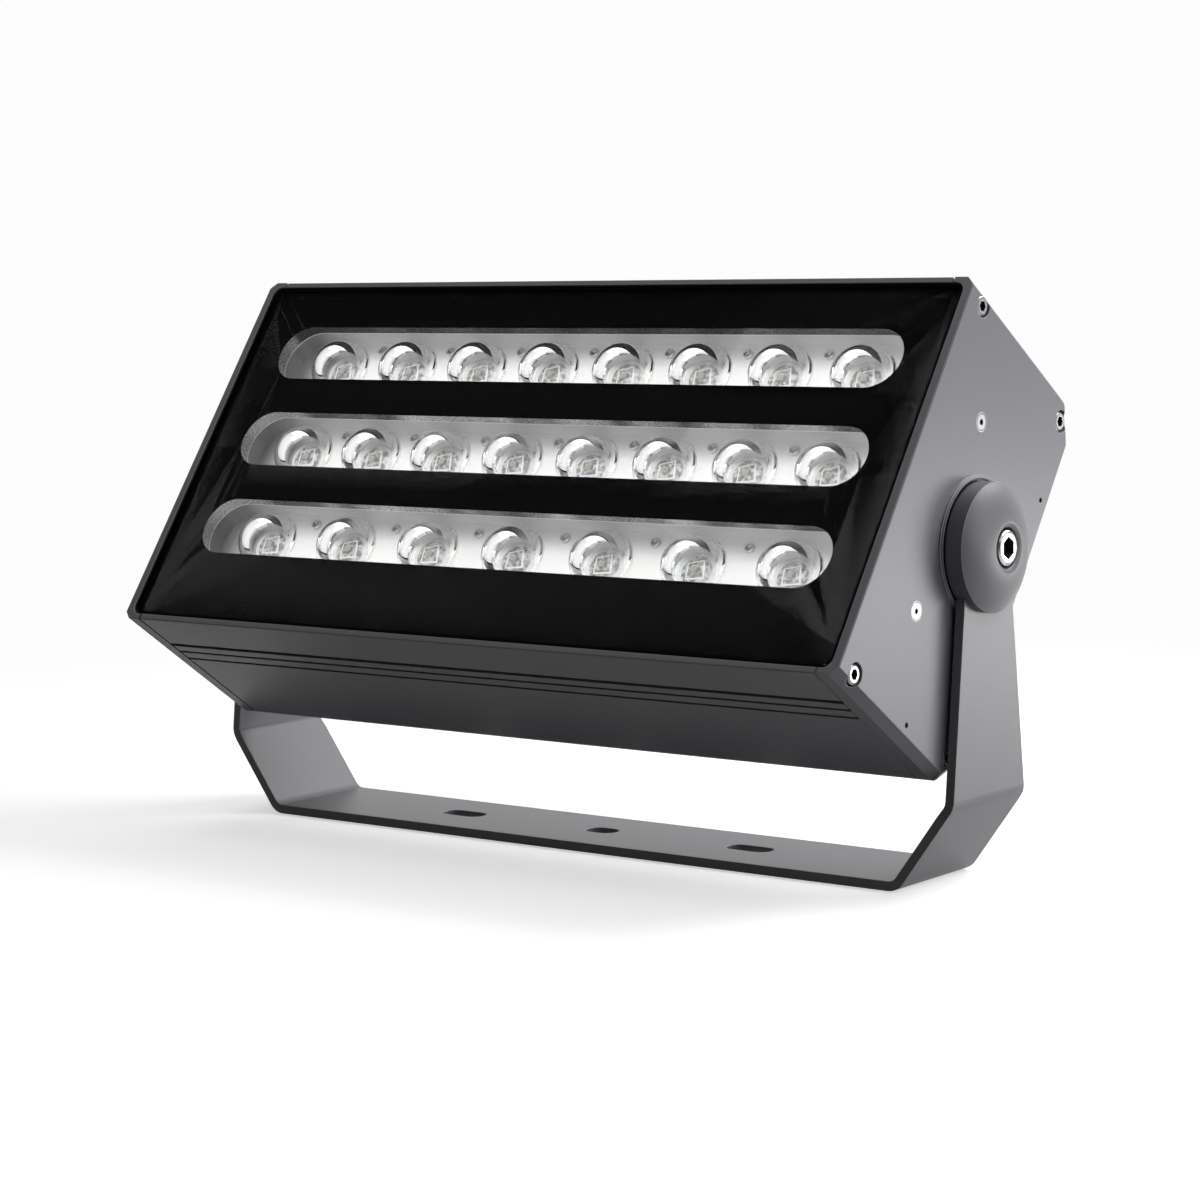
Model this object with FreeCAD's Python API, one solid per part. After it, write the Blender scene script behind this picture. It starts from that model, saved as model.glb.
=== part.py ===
"""Outdoor wall washer light: extruded housing with three rows of lenses, tilting in a U bracket.

Millimetres, +Z up. The origin is on the floor under the middle of the bracket's base.
The housing's pieces are laid out in the housing's own coordinates first: X along its length,
depth (Y) from the glass side backwards, rise (Z) from its lower side upwards. Then they are
tilted about the pivot axis and lifted to the height of the bracket's arms.
"""
import FreeCAD, Part
import math
import os

Vector = FreeCAD.Vector

# housing
overall_length = 480.0
housing_height = 226.0
housing_depth = 130.0
shell_wall = 4.0
rear_corner_depth = 16.0
rear_corner_height = 20.0
rear_corner_round = 8.0
front_corner_round = 0.6
profile_end_bevel = 0.4
groove_depth = 1.8
groove_width = 2.2
first_groove_width = 3.4
first_groove = 30.0
groove_pitch = 8.2
grooves_per_group = 3
back_groove_offset = 44.0

# end plates, their gaskets and screws
end_plate_thickness = 12.0
end_plate_bevel = 4.5
end_plate_front_bevel = 0.6
end_gasket_thickness = 1.0
end_gasket_inset = 1.5
end_gasket_width = 8.0
port_radius = 6.0
front_port_depth = 14.5
front_port_edge = 8.0
rear_port_inset = 16.0
rear_port_edge = 14.0
end_screw_radius = 3.0
end_screw_length = 34.0
end_screw_head_radius = 5.0
end_screw_head_height = 6.0
end_screw_socket = 5.0
counterbore_radius = 6.0
counterbore_depth = 6.6
pin_hole_radius = 1.5
pin_hole_depth = 4.0
lower_pin_hole = (69.0, 9.0)
rear_pin_hole = (119.0, 167.0)

# front glass and its seal
side_rim = 3.3
end_rim = 4.8
glass_gap = 0.7
glass_recess = 0.4
glass_thickness = 5.0
glass_corner = 5.0
glass_bevel = 1.2
print_thickness = 0.2
seal_thickness = 1.4
seal_drop = 0.5
seal_width = 7.2
ledge_width = 9.0
ledge_thickness = 4.0

# light slots, troughs and lenses
slot_end_margin = 28.5
slot_lower_border = 46.5
slot_upper_border = 29.1
row_names = ("bottom", "middle", "top")
row_lens_count = (7, 8, 8)
row_lens_inset = (34.5, 33.0, 33.0)
lens_radius = 17.5
lens_collar_lip = 1.0
lens_collar_thickness = 2.0
lens_hollow_radius = 4.0
lens_front_gap = 1.1
lens_hole_clearance = 0.3
trough_margin = 2.0
trough_wall = 1.2
trough_front_gap = 0.3
chip_size = 3.6
chip_height = 1.2
board_thickness = 1.6
board_end_gap = 4.0
board_overhang = 4.5
board_screw_radius = 1.5
board_screw_head_radius = 2.8
board_screw_head_height = 2.0
board_screw_rise = 13.5
board_screw_grip = 4.0
web_thickness = 5.0

# driver compartment
tray_thickness = 1.5
tray_left_margin = 52.0
tray_right_margin = 27.0
tray_low = 28.0
tray_high = 112.0
tray_flange = 10.0
tray_screw_inset = 12.0
driver_tray_margin = 30.0
driver_height = 70.0
driver_depth = 40.0
driver_ear = 12.0
driver_ear_thickness = 2.0
driver_rise = 70.0
block_tray_margin = 25.0
block_driver_gap = 40.0
block_length = 50.0
block_height = 22.0
block_depth = 20.0
block_poles = 5
small_screw_radius = 2.0
small_screw_head_radius = 3.5
small_screw_head_height = 2.4
small_screw_grip = 4.5
lead_radius = 1.5
lead_bend = 8.0
lead_bush_gap = 6.0
lead_board_reach = 1.3
lead_depth = 44.0
lead_step = 6.0

# cable gland and vent plug
gland_x = -130.0
gland_thread_radius = 10.0
gland_hex = 24.0
gland_body_height = 6.0
gland_neck_radius = 9.4
gland_neck_height = 11.0
gland_cap_height = 18.0
gland_bore = 5.0
gland_nut_height = 4.5
vent_x = 130.0
vent_thread_radius = 6.0
vent_flange_radius = 10.0
vent_height = 6.0
vent_nut_hex = 17.0
vent_nut_height = 4.0
thread_clearance = 0.1

# tilt pivot
tilt_angle = 35.0
axis_from_back = 54.0
axis_above_middle = 1.5
swing_clearance = 31.0
ring_radius = 36.0
ring_wall = 2.0
ring_height = 2.0
ring_step_width = 0.8
ring_step_drop = 0.9
disc_radius = 33.0
disc_gap = 0.3
hub_rim_height = 4.0
hub_rim_bevel = 0.4
hub_dome_height = 7.8
hub_dimple_radius = 13.2
hub_dimple_drop = 1.1
hub_hole_clearance = 1.5
hub_floor = 3.5
arm_slot_clearance = 0.3
tilt_screw_radius = 6.0
tilt_screw_head_height = 8.0
tilt_screw_socket = 10.0
tilt_screw_reach = 24.0
tilt_screw_play = 0.1
running_clearance = 0.05
screw_hole_clearance = 0.3
pivot_plate_thickness = 5.0
pivot_plate_height = 132.0
pivot_plate_web_gap = 5.2
pivot_plate_rim = 9.0
bush_radius = 15.0
bush_length = 16.0
flush_screw_edge = 7.5
flush_screw_spacing = 109.0
flush_screw_radius = 2.5
flush_screw_head_radius = 5.0
flush_screw_socket = 3.0

# bracket
plate_thickness = 5.0
arm_gap = 2.5
slope_run = 33.0
bend_height = 45.0
bend_inner_radius = 6.0
taper_start_drop = 5.0
bracket_width = 71.0
arm_end_radius = 20.0
base_slot_spacing = 199.0
base_slot_length = 28.5
base_slot_width = 14.0
middle_slot_length = 20.0

# worked out from the sizes above
half_length = overall_length / 2
profile_half = half_length - end_plate_thickness - end_gasket_thickness
plate_inner = half_length - end_plate_thickness
print_back = glass_recess + glass_thickness + print_thickness
seat_depth = print_back + seal_thickness
board_front = print_back + lens_front_gap + lens_radius + lens_collar_thickness
trough_floor = board_front - trough_wall
web_front = board_front + board_thickness
web_back = web_front + web_thickness
rear_inside = housing_depth - shell_wall
arm_inside = half_length + arm_gap
arm_outside = arm_inside + plate_thickness
base_half_length = arm_outside - slope_run
axis_depth = housing_depth - axis_from_back
axis_rise = housing_height / 2 + axis_above_middle
axis_height = plate_thickness + swing_clearance + math.hypot(axis_depth, axis_rise)
rear_port_depth = housing_depth - rear_port_inset
slot_length = overall_length - 2 * slot_end_margin
slot_height = 2 * lens_radius
lowest_row = slot_lower_border + slot_height / 2
highest_row = housing_height - slot_upper_border - slot_height / 2
row_step = (highest_row - lowest_row) / (len(row_names) - 1)
row_rises = [lowest_row + row * row_step for row in range(len(row_names))]
lens_collar_radius = lens_radius + lens_collar_lip
board_half_length = profile_half - board_end_gap
board_height = slot_height + 2 * board_overhang
tray_start = tray_left_margin - profile_half
tray_end = profile_half - tray_right_margin
block_start = tray_start + block_tray_margin
block_end = block_start + block_length
driver_start = block_end + block_driver_gap
driver_end = tray_end - driver_tray_margin
lead_x = plate_inner - bush_length - lead_bush_gap
gland_rise = housing_height / 2
hub_hole_radius = tilt_screw_radius * 1.5 + hub_hole_clearance
tilt_screw_head_radius = tilt_screw_radius * 1.5
pivot_plate_front = web_back + pivot_plate_web_gap
pivot_plate_rear = axis_depth + bush_radius + pivot_plate_rim
flush_screw_depth = pivot_plate_front + flush_screw_edge
flush_screw_rises = (axis_rise - flush_screw_spacing / 2, axis_rise + flush_screw_spacing / 2)


# ---------------------------------------------------------------- outlines and simple solids

def rounded_wire(points, radii):
    """Closed wire through the points, each corner rounded by its own radius."""
    count = len(points)
    entries = []
    exits = []
    middles = []
    for index in range(count):
        corner = points[index]
        back = (points[index - 1] - corner).normalize()
        ahead = (points[(index + 1) % count] - corner).normalize()
        half_angle = back.getAngle(ahead) / 2
        reach = radii[index] / math.tan(half_angle)
        bisector = (back + ahead).normalize()
        entries.append(corner + back * reach)
        exits.append(corner + ahead * reach)
        middles.append(corner + bisector * (radii[index] / math.sin(half_angle) - radii[index]))
    edges = []
    for index in range(count):
        if radii[index] > 0:
            edges.append(Part.Arc(entries[index], middles[index], exits[index]).toShape())
        following = entries[(index + 1) % count]
        if (following - exits[index]).Length > 1e-6:
            edges.append(Part.LineSegment(exits[index], following).toShape())
    return Part.Wire(Part.__sortEdges__(edges))


def section_prism(outline, radii, x_start, x_end):
    """Solid with an outline of (depth, rise) points, running along X."""
    points = [Vector(x_start, depth, rise) for depth, rise in outline]
    return Part.Face(rounded_wire(points, radii)).extrude(Vector(x_end - x_start, 0, 0))


def panel(half_width, low, high, corner, depth_start, depth_end):
    """Rounded panel facing the glass side, centred on x = 0, between two rises."""
    corners = ((-half_width, low), (half_width, low), (half_width, high), (-half_width, high))
    points = [Vector(x, depth_start, rise) for x, rise in corners]
    return Part.Face(rounded_wire(points, [corner] * 4)).extrude(Vector(0, depth_end - depth_start, 0))


def block(x_start, x_end, y_start, y_end, z_start, z_end):
    corner = Vector(x_start, y_start, z_start)
    return Part.makeBox(x_end - x_start, y_end - y_start, z_end - z_start, corner)


def rod(radius, start, end):
    return Part.makeCylinder(radius, (end - start).Length, start, end - start)


def hexagon_rod(across_flats, start, end):
    """Six-sided prism between two points."""
    along = end - start
    side = Vector(0, 0, 1) if abs(along.z) < 1e-6 else Vector(1, 0, 0)
    other = along.cross(side).normalize()
    corner_radius = across_flats / math.sqrt(3)
    corners = []
    for step in range(7):
        angle = math.radians(60 * step)
        corners.append(start + side * corner_radius * math.cos(angle) + other * corner_radius * math.sin(angle))
    return Part.Face(Part.makePolygon(corners)).extrude(along)


def ring(outer_radius, inner_radius, start, end):
    return rod(outer_radius, start, end).cut(rod(inner_radius, start, end))


def socket_screw(face, inward, head_radius, head_height, shank_radius, length, across_flats, edge):
    """Cylinder-head screw; face is the middle of the head's face, length runs from under the head."""
    seat = face + inward * head_height
    head = rod(head_radius, face, seat)
    outer_rims = [item for item in head.Edges if abs((item.CenterOfMass - face).dot(inward)) < 1e-3]
    head = head.makeChamfer(edge, outer_rims)
    head = head.cut(hexagon_rod(across_flats, face, face + inward * head_height * 0.6))
    return head.fuse(rod(shank_radius, seat, seat + inward * length)).removeSplitter()


def flush_screw(face, inward, head_radius, shank_radius, length, across_flats):
    """Countersunk screw, its head a right-angled cone; length includes the head."""
    cone_height = head_radius - shank_radius
    head = Part.makeCone(head_radius, shank_radius, cone_height, face, inward)
    shank = rod(shank_radius, face + inward * cone_height, face + inward * length)
    socket = hexagon_rod(across_flats, face, face + inward * cone_height * 0.9)
    return head.fuse(shank).cut(socket).removeSplitter()


def lead(points, radius, bend):
    """Round wire along straight runs joined by tangent arcs."""
    edges = []
    start = points[0]
    for index in range(1, len(points) - 1):
        corner = points[index]
        back = (points[index - 1] - corner).normalize()
        ahead = (points[index + 1] - corner).normalize()
        half_angle = back.getAngle(ahead) / 2
        reach = bend / math.tan(half_angle)
        middle = corner + (back + ahead).normalize() * (bend / math.sin(half_angle) - bend)
        edges.append(Part.LineSegment(start, corner + back * reach).toShape())
        edges.append(Part.Arc(corner + back * reach, middle, corner + ahead * reach).toShape())
        start = corner + ahead * reach
    edges.append(Part.LineSegment(start, points[-1]).toShape())
    path = Part.Wire(edges)
    heading = (points[1] - points[0]).normalize()
    circle = Part.Wire(Part.Circle(points[0], heading, radius).toShape())
    return path.makePipeShell([circle], True, False)


def mirrored(shape):
    return shape.mirror(Vector(0, 0, 0), Vector(1, 0, 0))


def tilted(shape):
    """Move a shape from the housing's coordinates to its place in the bracket."""
    shape = shape.copy()
    shape.translate(Vector(0, -axis_depth, -axis_rise))
    shape.rotate(Vector(0, 0, 0), Vector(1, 0, 0), -tilt_angle)
    shape.translate(Vector(0, 0, axis_height))
    return shape


def on_axis(shape):
    """Lift a shape that was made round the X axis to the pivot axis."""
    shape = shape.copy()
    shape.translate(Vector(0, 0, axis_height))
    return shape


# ---------------------------------------------------------------- housing shell and end plates

def housing_outline(inset, front_round=0):
    """Section of the housing, inset on every side: (depth, rise) points and corner rounds."""
    top = housing_height - inset
    back = housing_depth - inset
    slope = math.hypot(rear_corner_depth, rear_corner_height)
    depth_shift = inset * (slope - rear_corner_depth) / rear_corner_height
    rise_shift = inset * (slope - rear_corner_height) / rear_corner_depth
    lower_rear = housing_depth - rear_corner_depth - depth_shift
    lower_back = rear_corner_height + rise_shift
    points = [
        (inset, inset),
        (lower_rear, inset),
        (back, lower_back),
        (back, housing_height - lower_back),
        (lower_rear, top),
        (inset, top),
    ]
    rounding = max(rear_corner_round - inset, 0.5)
    return points, [front_round, rounding, rounding, rounding, rounding, front_round]


def port_places():
    """(depth, rise) of the four screws that hold each end plate."""
    return [
        (front_port_depth, front_port_edge),
        (front_port_depth, housing_height - front_port_edge),
        (rear_port_depth, rear_port_edge),
        (rear_port_depth, housing_height - rear_port_edge),
    ]


def groove_cutters():
    """Lengthwise grooves: a group in the lower side, one in the upper side and two in the back."""
    cutters = []
    for step in range(grooves_per_group):
        width = first_groove_width if step == 0 else groove_width
        depth = first_groove + step * groove_pitch
        spans = (depth - width / 2, depth + width / 2)
        cutters.append(block(-half_length, half_length, *spans, -1, groove_depth))
        cutters.append(block(-half_length, half_length, *spans, housing_height - groove_depth, housing_height + 1))
        rise = back_groove_offset + step * groove_pitch
        for middle in (rise, housing_height - rise):
            floor = housing_depth - groove_depth
            low = middle - groove_width / 2
            cutters.append(block(-half_length, half_length, floor, housing_depth + 1, low, low + groove_width))
    return cutters


def glass_pocket():
    return panel(half_length - end_rim, side_rim, housing_height - side_rim, glass_corner + glass_gap, -1, seat_depth)


def make_profile():
    """Extruded shell: ledges for the glass, a cross web for the boards, screw ports and grooves."""
    outline, radii = housing_outline(0, front_corner_round)
    shell = section_prism(outline, radii, -profile_half, profile_half)
    ends = [edge for edge in shell.Edges if edge.BoundBox.XLength < 1e-3]
    shell = shell.makeChamfer(profile_end_bevel, ends)
    inner, inner_radii = housing_outline(shell_wall)
    hollow = section_prism(inner, inner_radii, -profile_half, profile_half)
    front_room = block(
        -profile_half, profile_half, seat_depth + ledge_thickness, web_front,
        shell_wall, housing_height - shell_wall)
    rear_room = hollow.cut(block(-profile_half, profile_half, 0, web_back, 0, housing_height))
    window = block(
        -profile_half, profile_half, seat_depth - 1, seat_depth + ledge_thickness + 1,
        side_rim + ledge_width, housing_height - side_rim - ledge_width)
    pocket = block(-profile_half, profile_half, -1, seat_depth, side_rim, housing_height - side_rim)
    shell = shell.cut([front_room, rear_room, window, pocket])
    ports = []
    bores = []
    for depth, rise in port_places():
        ends = (Vector(-profile_half, depth, rise), Vector(profile_half, depth, rise))
        ports.append(rod(port_radius, *ends))
        bores.append(rod(end_screw_radius + running_clearance, *ends))
    shell = shell.fuse(ports)
    shell = shell.cut(bores + groove_cutters() + profile_holes())
    return shell.removeSplitter()


def profile_holes():
    """Holes in the web for screws and leads, and in the back for the gland and the vent."""
    holes = []
    for x, rise in board_screw_places():
        start = Vector(x, web_front - 1, rise)
        holes.append(rod(board_screw_radius + running_clearance, start, Vector(x, web_back + 1, rise)))
    for x, rise in tray_screw_places() + driver_screw_places():
        start = Vector(x, web_front + 0.2, rise)
        holes.append(rod(small_screw_radius + running_clearance, start, Vector(x, web_back + 1, rise)))
    for rise in row_rises:
        start = Vector(lead_x, web_front - 1, rise)
        holes.append(rod(lead_radius + 1, start, Vector(lead_x, web_back + 1, rise)))
    for x, radius in ((gland_x, gland_thread_radius), (vent_x, vent_thread_radius)):
        start = Vector(x, rear_inside - 1, gland_rise)
        holes.append(rod(radius + thread_clearance, start, Vector(x, housing_depth + 1, gland_rise)))
    return holes


def bevelled_plate():
    """Right end plate before its holes: bevelled round the outer face, except along the glass."""
    outline, radii = housing_outline(0)
    plate = section_prism(outline, radii, plate_inner, half_length)
    rims = []
    for edge in plate.Edges:
        outer = edge.BoundBox.XMin > half_length - 1e-3
        along_glass = edge.BoundBox.YMax < 1e-3
        if outer and not along_glass:
            rims.append(edge)
    plate = plate.makeChamfer(end_plate_bevel, rims)
    corners = [
        Vector(half_length - end_plate_front_bevel - 1, -1, -1),
        Vector(half_length + 1, -1, -1),
        Vector(half_length + 1, end_plate_front_bevel + 1, -1),
    ]
    wedge = Part.Face(Part.makePolygon(corners + corners[:1])).extrude(Vector(0, 0, housing_height + 2))
    return plate.cut(wedge)


def pivot_ring():
    """Raised ring round the pivot: a low step outside and a higher rounded bead inside it."""
    base = Vector(half_length - 1, axis_depth, axis_rise)
    top = Vector(half_length + ring_height, axis_depth, axis_rise)
    bead_radius = ring_radius - ring_step_width
    inner_radius = ring_radius - ring_wall
    bead = ring(bead_radius, inner_radius, base, top)
    rims = [edge for edge in bead.Edges if edge.BoundBox.XMin > top.x - 1e-3]
    bead = bead.makeFillet((bead_radius - inner_radius) * 0.4, rims)
    return bead.fuse(ring(ring_radius, bead_radius - 0.2, base, top - Vector(ring_step_drop, 0, 0)))


def make_end_plate():
    plate = bevelled_plate().fuse(pivot_ring())
    cutters = [glass_pocket()]
    for depth, rise in port_places():
        face = Vector(half_length + 1, depth, rise)
        floor = Vector(half_length - counterbore_depth, depth, rise)
        inside = Vector(plate_inner - 1, depth, rise)
        cutters.append(rod(counterbore_radius, floor, face))
        cutters.append(rod(end_screw_radius + screw_hole_clearance, inside, face))
    for rise in flush_screw_rises:
        face = Vector(half_length, flush_screw_depth, rise)
        cone = flush_screw_head_radius - flush_screw_radius
        cutters.append(Part.makeCone(flush_screw_head_radius, flush_screw_radius, cone, face, Vector(-1, 0, 0)))
        cutters.append(rod(flush_screw_radius + running_clearance, Vector(plate_inner - 1, face.y, face.z), face))
    for depth, rise in (lower_pin_hole, rear_pin_hole):
        floor = Vector(half_length - pin_hole_depth, depth, rise)
        cutters.append(rod(pin_hole_radius, floor, Vector(half_length + 1, depth, rise)))
    axis = (Vector(plate_inner - 1, axis_depth, axis_rise), Vector(half_length + 1, axis_depth, axis_rise))
    cutters.append(rod(bush_radius, *axis))
    return plate.cut(cutters).removeSplitter()


def make_end_gasket():
    """Flat frame between the profile's end and the end plate, a little inside their outline."""
    outline, radii = housing_outline(end_gasket_inset)
    frame = section_prism(outline, radii, profile_half, plate_inner)
    inner, inner_radii = housing_outline(end_gasket_width)
    opening = section_prism(inner, inner_radii, profile_half, plate_inner)
    opening = opening.cut(block(profile_half, plate_inner, 0, seat_depth + ledge_thickness, 0, housing_height))
    cutters = [opening, glass_pocket()]
    for depth, rise in port_places():
        frame = frame.fuse(rod(port_radius, Vector(profile_half, depth, rise), Vector(plate_inner, depth, rise)))
        start = Vector(profile_half - 1, depth, rise)
        cutters.append(rod(end_screw_radius + screw_hole_clearance, start, Vector(plate_inner + 1, depth, rise)))
    return frame.cut(cutters).removeSplitter()


def make_end_screws():
    screws = []
    head_face = half_length - counterbore_depth + end_screw_head_height
    for depth, rise in port_places():
        face = Vector(head_face, depth, rise)
        screws.append(socket_screw(
            face, Vector(-1, 0, 0), end_screw_head_radius, end_screw_head_height, end_screw_radius,
            end_screw_length, end_screw_socket, 0.5))
    return screws


def make_pivot_plate():
    """Steel plate inside the end plate, with the bush that the tilt screw runs in."""
    low = axis_rise - pivot_plate_height / 2
    plate = block(
        plate_inner - pivot_plate_thickness, plate_inner,
        pivot_plate_front, pivot_plate_rear, low, low + pivot_plate_height)
    upright = [edge for edge in plate.Edges if abs(edge.tangentAt(edge.FirstParameter).x) > 0.99]
    plate = plate.makeFillet(bush_radius / 2, upright)
    outer = Vector(half_length, axis_depth, axis_rise)
    shoulder = Vector(plate_inner, axis_depth, axis_rise)
    inner = Vector(plate_inner - bush_length, axis_depth, axis_rise)
    plate = plate.fuse([rod(bush_radius, inner, shoulder), rod(bush_radius - running_clearance, shoulder, outer)])
    bore_end = Vector(half_length - tilt_screw_reach - 1, axis_depth, axis_rise)
    cutters = [rod(tilt_screw_radius + running_clearance, bore_end, outer)]
    for rise in flush_screw_rises:
        start = Vector(plate_inner - pivot_plate_thickness - 1, flush_screw_depth, rise)
        end = Vector(plate_inner + 1, flush_screw_depth, rise)
        cutters.append(rod(flush_screw_radius + running_clearance, start, end))
    return plate.cut(cutters).removeSplitter()


def make_pivot_plate_screws():
    screws = []
    for rise in flush_screw_rises:
        face = Vector(half_length, flush_screw_depth, rise)
        length = end_plate_thickness + pivot_plate_thickness - 0.5
        screws.append(flush_screw(
            face, Vector(-1, 0, 0), flush_screw_head_radius, flush_screw_radius, length, flush_screw_socket))
    return screws


# ---------------------------------------------------------------- glass

def glass_panel(depth_start, depth_end):
    half = half_length - end_rim - glass_gap
    low = side_rim + glass_gap
    return panel(half, low, housing_height - low, glass_corner, depth_start, depth_end)


def make_glass():
    glass = glass_panel(glass_recess, glass_recess + glass_thickness)
    rims = [edge for edge in glass.Edges if edge.BoundBox.YMax < glass_recess + 1e-3]
    return glass.makeChamfer(glass_bevel, rims)


def slot_cutter(row, margin, depth_start, depth_end):
    """Round-ended slot of one row, widened all round by a margin."""
    middle = row_rises[row]
    half_height = slot_height / 2 + margin
    half_width = slot_length / 2 + margin
    return panel(half_width, middle - half_height, middle + half_height, half_height, depth_start, depth_end)


def make_print():
    """Black enamel on the back of the glass, open at the three slots."""
    layer = glass_panel(glass_recess + glass_thickness, print_back)
    slots = [slot_cutter(row, 0, 0, print_back + 1) for row in range(len(row_names))]
    return layer.cut(slots)


def make_glass_seal():
    """Frame that the glass lies on, with a lip round the glass's edge."""
    low = side_rim
    half = half_length - end_rim
    corner = glass_corner + glass_gap
    frame = panel(half, low, housing_height - low, corner, glass_recess + seal_drop, seat_depth)
    window_low = low + seal_width
    window = panel(half - seal_width, window_low, housing_height - window_low, 2, 0, seat_depth + 1)
    return frame.cut([glass_panel(0, print_back), window])


# ---------------------------------------------------------------- rows of lenses

def lens_pitch(row):
    return (slot_length - 2 * row_lens_inset[row]) / (row_lens_count[row] - 1)


def lens_places(row):
    first = row_lens_inset[row] - slot_length / 2
    return [first + step * lens_pitch(row) for step in range(row_lens_count[row])]


def board_screw_places():
    """(x, rise) of the screws, one above and one below the middle of each gap between lenses."""
    places = []
    for row, middle in enumerate(row_rises):
        half_pitch = lens_pitch(row) / 2
        for x in lens_places(row)[:-1]:
            places.append((x + half_pitch, middle + board_screw_rise))
            places.append((x + half_pitch, middle - board_screw_rise))
    return places


def make_trough(row):
    """Round-ended tray behind a slot, its floor pierced for the lenses and screws."""
    rim = print_back + trough_front_gap
    outer = slot_cutter(row, trough_margin + trough_wall, rim, board_front)
    inner = slot_cutter(row, trough_margin, rim - 1, trough_floor)
    cutters = [inner]
    middle = row_rises[row]
    for x in lens_places(row):
        start = Vector(x, trough_floor - 1, middle)
        cutters.append(rod(lens_collar_radius + lens_hole_clearance, start, Vector(x, board_front + 1, middle)))
    for x, rise in board_screw_places():
        if abs(rise - middle) < slot_height / 2:
            start = Vector(x, trough_floor - 1, rise)
            cutters.append(rod(board_screw_radius + 0.1, start, Vector(x, board_front + 1, rise)))
    return outer.cut(cutters)


def make_lens(x, rise):
    """Glass dome on a collar, hollow over the chip."""
    base = Vector(x, board_front, rise)
    forward = Vector(0, -1, 0)
    collar_top = base + forward * lens_collar_thickness
    collar = rod(lens_collar_radius, base, collar_top)
    dome = Part.makeSphere(lens_radius, collar_top, forward, 0, 90, 360)
    hollow = Part.makeSphere(lens_hollow_radius, base, forward)
    return collar.fuse(dome).cut(hollow).removeSplitter()


def make_lenses(row):
    return [make_lens(x, row_rises[row]) for x in lens_places(row)]


def make_chips(row):
    chips = []
    half = chip_size / 2
    for x in lens_places(row):
        middle = row_rises[row]
        chips.append(block(x - half, x + half, board_front - chip_height, board_front, middle - half, middle + half))
    return chips


def make_board(row):
    middle = row_rises[row]
    low = middle - board_height / 2
    board = panel(board_half_length, low, low + board_height, 3, board_front, web_front)
    cutters = [rod(lead_radius + 0.3, Vector(lead_x, board_front - 1, middle), Vector(lead_x, web_front + 1, middle))]
    for x, rise in board_screw_places():
        if abs(rise - middle) < board_height / 2:
            start = Vector(x, board_front - 1, rise)
            cutters.append(rod(board_screw_radius + 0.1, start, Vector(x, web_front + 1, rise)))
    return board.cut(cutters)


def make_board_screws():
    screws = []
    for x, rise in board_screw_places():
        face = Vector(x, trough_floor - board_screw_head_height, rise)
        length = trough_wall + board_thickness + board_screw_grip
        screws.append(socket_screw(
            face, Vector(0, 1, 0), board_screw_head_radius, board_screw_head_height, board_screw_radius,
            length, 2.5, 0.4))
    return screws


# ---------------------------------------------------------------- driver compartment

def tray_screw_places():
    places = []
    for x in (tray_start + tray_screw_inset, tray_end - tray_screw_inset):
        for rise in (tray_low + tray_screw_inset, tray_high - tray_screw_inset):
            places.append((x, rise))
    return places


def driver_screw_places():
    ear_middle = driver_ear / 2
    return [(driver_start - ear_middle, driver_rise), (driver_end + ear_middle, driver_rise)]


def make_tray():
    """Channel of sheet metal that carries the driver on the back of the web."""
    floor = web_back + tray_thickness
    tray = block(tray_start, tray_end, web_back, floor + tray_flange, tray_low, tray_high)
    hollow = block(
        tray_start, tray_end, floor, floor + tray_flange + 1,
        tray_low + tray_thickness, tray_high - tray_thickness)
    cutters = [hollow]
    for x, rise in tray_screw_places() + driver_screw_places():
        start = Vector(x, web_back - 1, rise)
        cutters.append(rod(small_screw_radius + 0.1, start, Vector(x, floor + 1, rise)))
    return tray.cut(cutters)


def make_driver():
    floor = web_back + tray_thickness
    low = driver_rise - driver_height / 2
    case = block(driver_start, driver_end, floor, floor + driver_depth, low, low + driver_height)
    long_edges = [edge for edge in case.Edges if edge.BoundBox.YMin > floor + driver_depth - 1e-3]
    case = case.makeFillet(3, long_edges)
    ear_low = driver_rise - driver_ear
    ears = block(
        driver_start - driver_ear, driver_end + driver_ear, floor, floor + driver_ear_thickness,
        ear_low, ear_low + 2 * driver_ear)
    case = case.fuse(ears)
    holes = []
    for x, rise in driver_screw_places():
        start = Vector(x, floor - 1, rise)
        holes.append(rod(small_screw_radius + 0.1, start, Vector(x, floor + driver_ear_thickness + 1, rise)))
    return case.cut(holes).removeSplitter()


def make_small_screws(places, seat):
    screws = []
    for x, rise in places:
        face = Vector(x, seat + small_screw_head_height, rise)
        length = seat - web_back + small_screw_grip
        screws.append(socket_screw(
            face, Vector(0, -1, 0), small_screw_head_radius, small_screw_head_height, small_screw_radius,
            length, 2.5, 0.4))
    return screws


def make_terminal_block():
    """Row of screw terminals, each with a wire entry and a screw well."""
    floor = web_back + tray_thickness
    low = driver_rise - block_height / 2
    body = block(block_start, block_end, floor, floor + block_depth, low, low + block_height)
    pitch = block_length / block_poles
    cutters = []
    for pole in range(block_poles):
        x = block_start + pitch * (pole + 0.5)
        well = Vector(x, floor + block_depth * 0.55, driver_rise)
        cutters.append(rod(pitch * 0.28, well, Vector(x, floor + block_depth + 1, driver_rise)))
        entry = Vector(x, floor + block_depth * 0.35, low - 1)
        cutters.append(rod(pitch * 0.2, entry, Vector(x, floor + block_depth * 0.35, low + 6)))
    return body.cut(cutters)


def make_driver_leads():
    """Two leads from the terminal block to the driver's input end."""
    leads = []
    for step in (-1, 1):
        rise = driver_rise + step * lead_step
        start = Vector(block_end, lead_depth, rise)
        end = Vector(driver_start, lead_depth, rise)
        leads.append(rod(lead_radius, start, end))
    return leads


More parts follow.
